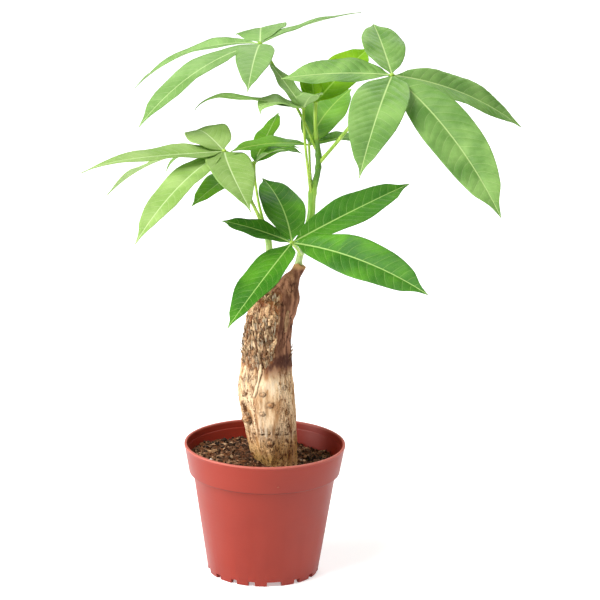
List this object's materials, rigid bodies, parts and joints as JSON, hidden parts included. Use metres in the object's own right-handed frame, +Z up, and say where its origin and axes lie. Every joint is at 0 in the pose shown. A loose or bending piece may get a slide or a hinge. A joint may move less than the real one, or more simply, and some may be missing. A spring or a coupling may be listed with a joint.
{
  "type": "potted money tree",
  "caption": "Small potted money tree: a stout pruned trunk with slender green shoots and palmate leaves, in a tapered collared nursery pot.",
  "frame": {"origin": "middle of the pot's foot, on the surface that the pot stands on", "axes": "+Z up along the pot's axis, +X to the right and -Y towards the viewer of the picture"},
  "size_m": [0.3152, 0.2421, 0.4103],
  "materials": {
    "pot": "satin terracotta plastic",
    "soil": "damp crumbly potting mix",
    "bark": "rough corky bark above, smooth pale bark below",
    "stem": "smooth green stem",
    "leaf_pale": "soft satin leaf",
    "leaf_green": "soft satin leaf",
    "leaf_dark": "satin leaf",
    "leaf_fresh": "shiny young leaf"
  },
  "bodies": {
    "root": {"pot": "pot", "soil": "soil", "trunk": "bark", "shoot_right": "stem", "shoot_left": "stem", "leaf_upper_left": "leaf_pale", "leaf_upper_right": "leaf_green", "leaf_front": "leaf_dark", "leaf_left": "leaf_pale", "leaf_left_back": "leaf_green", "leaf_middle": "leaf_pale", "leaf_back": "leaf_green", "leaf_young": "leaf_fresh"}
  },
  "joints": []
}
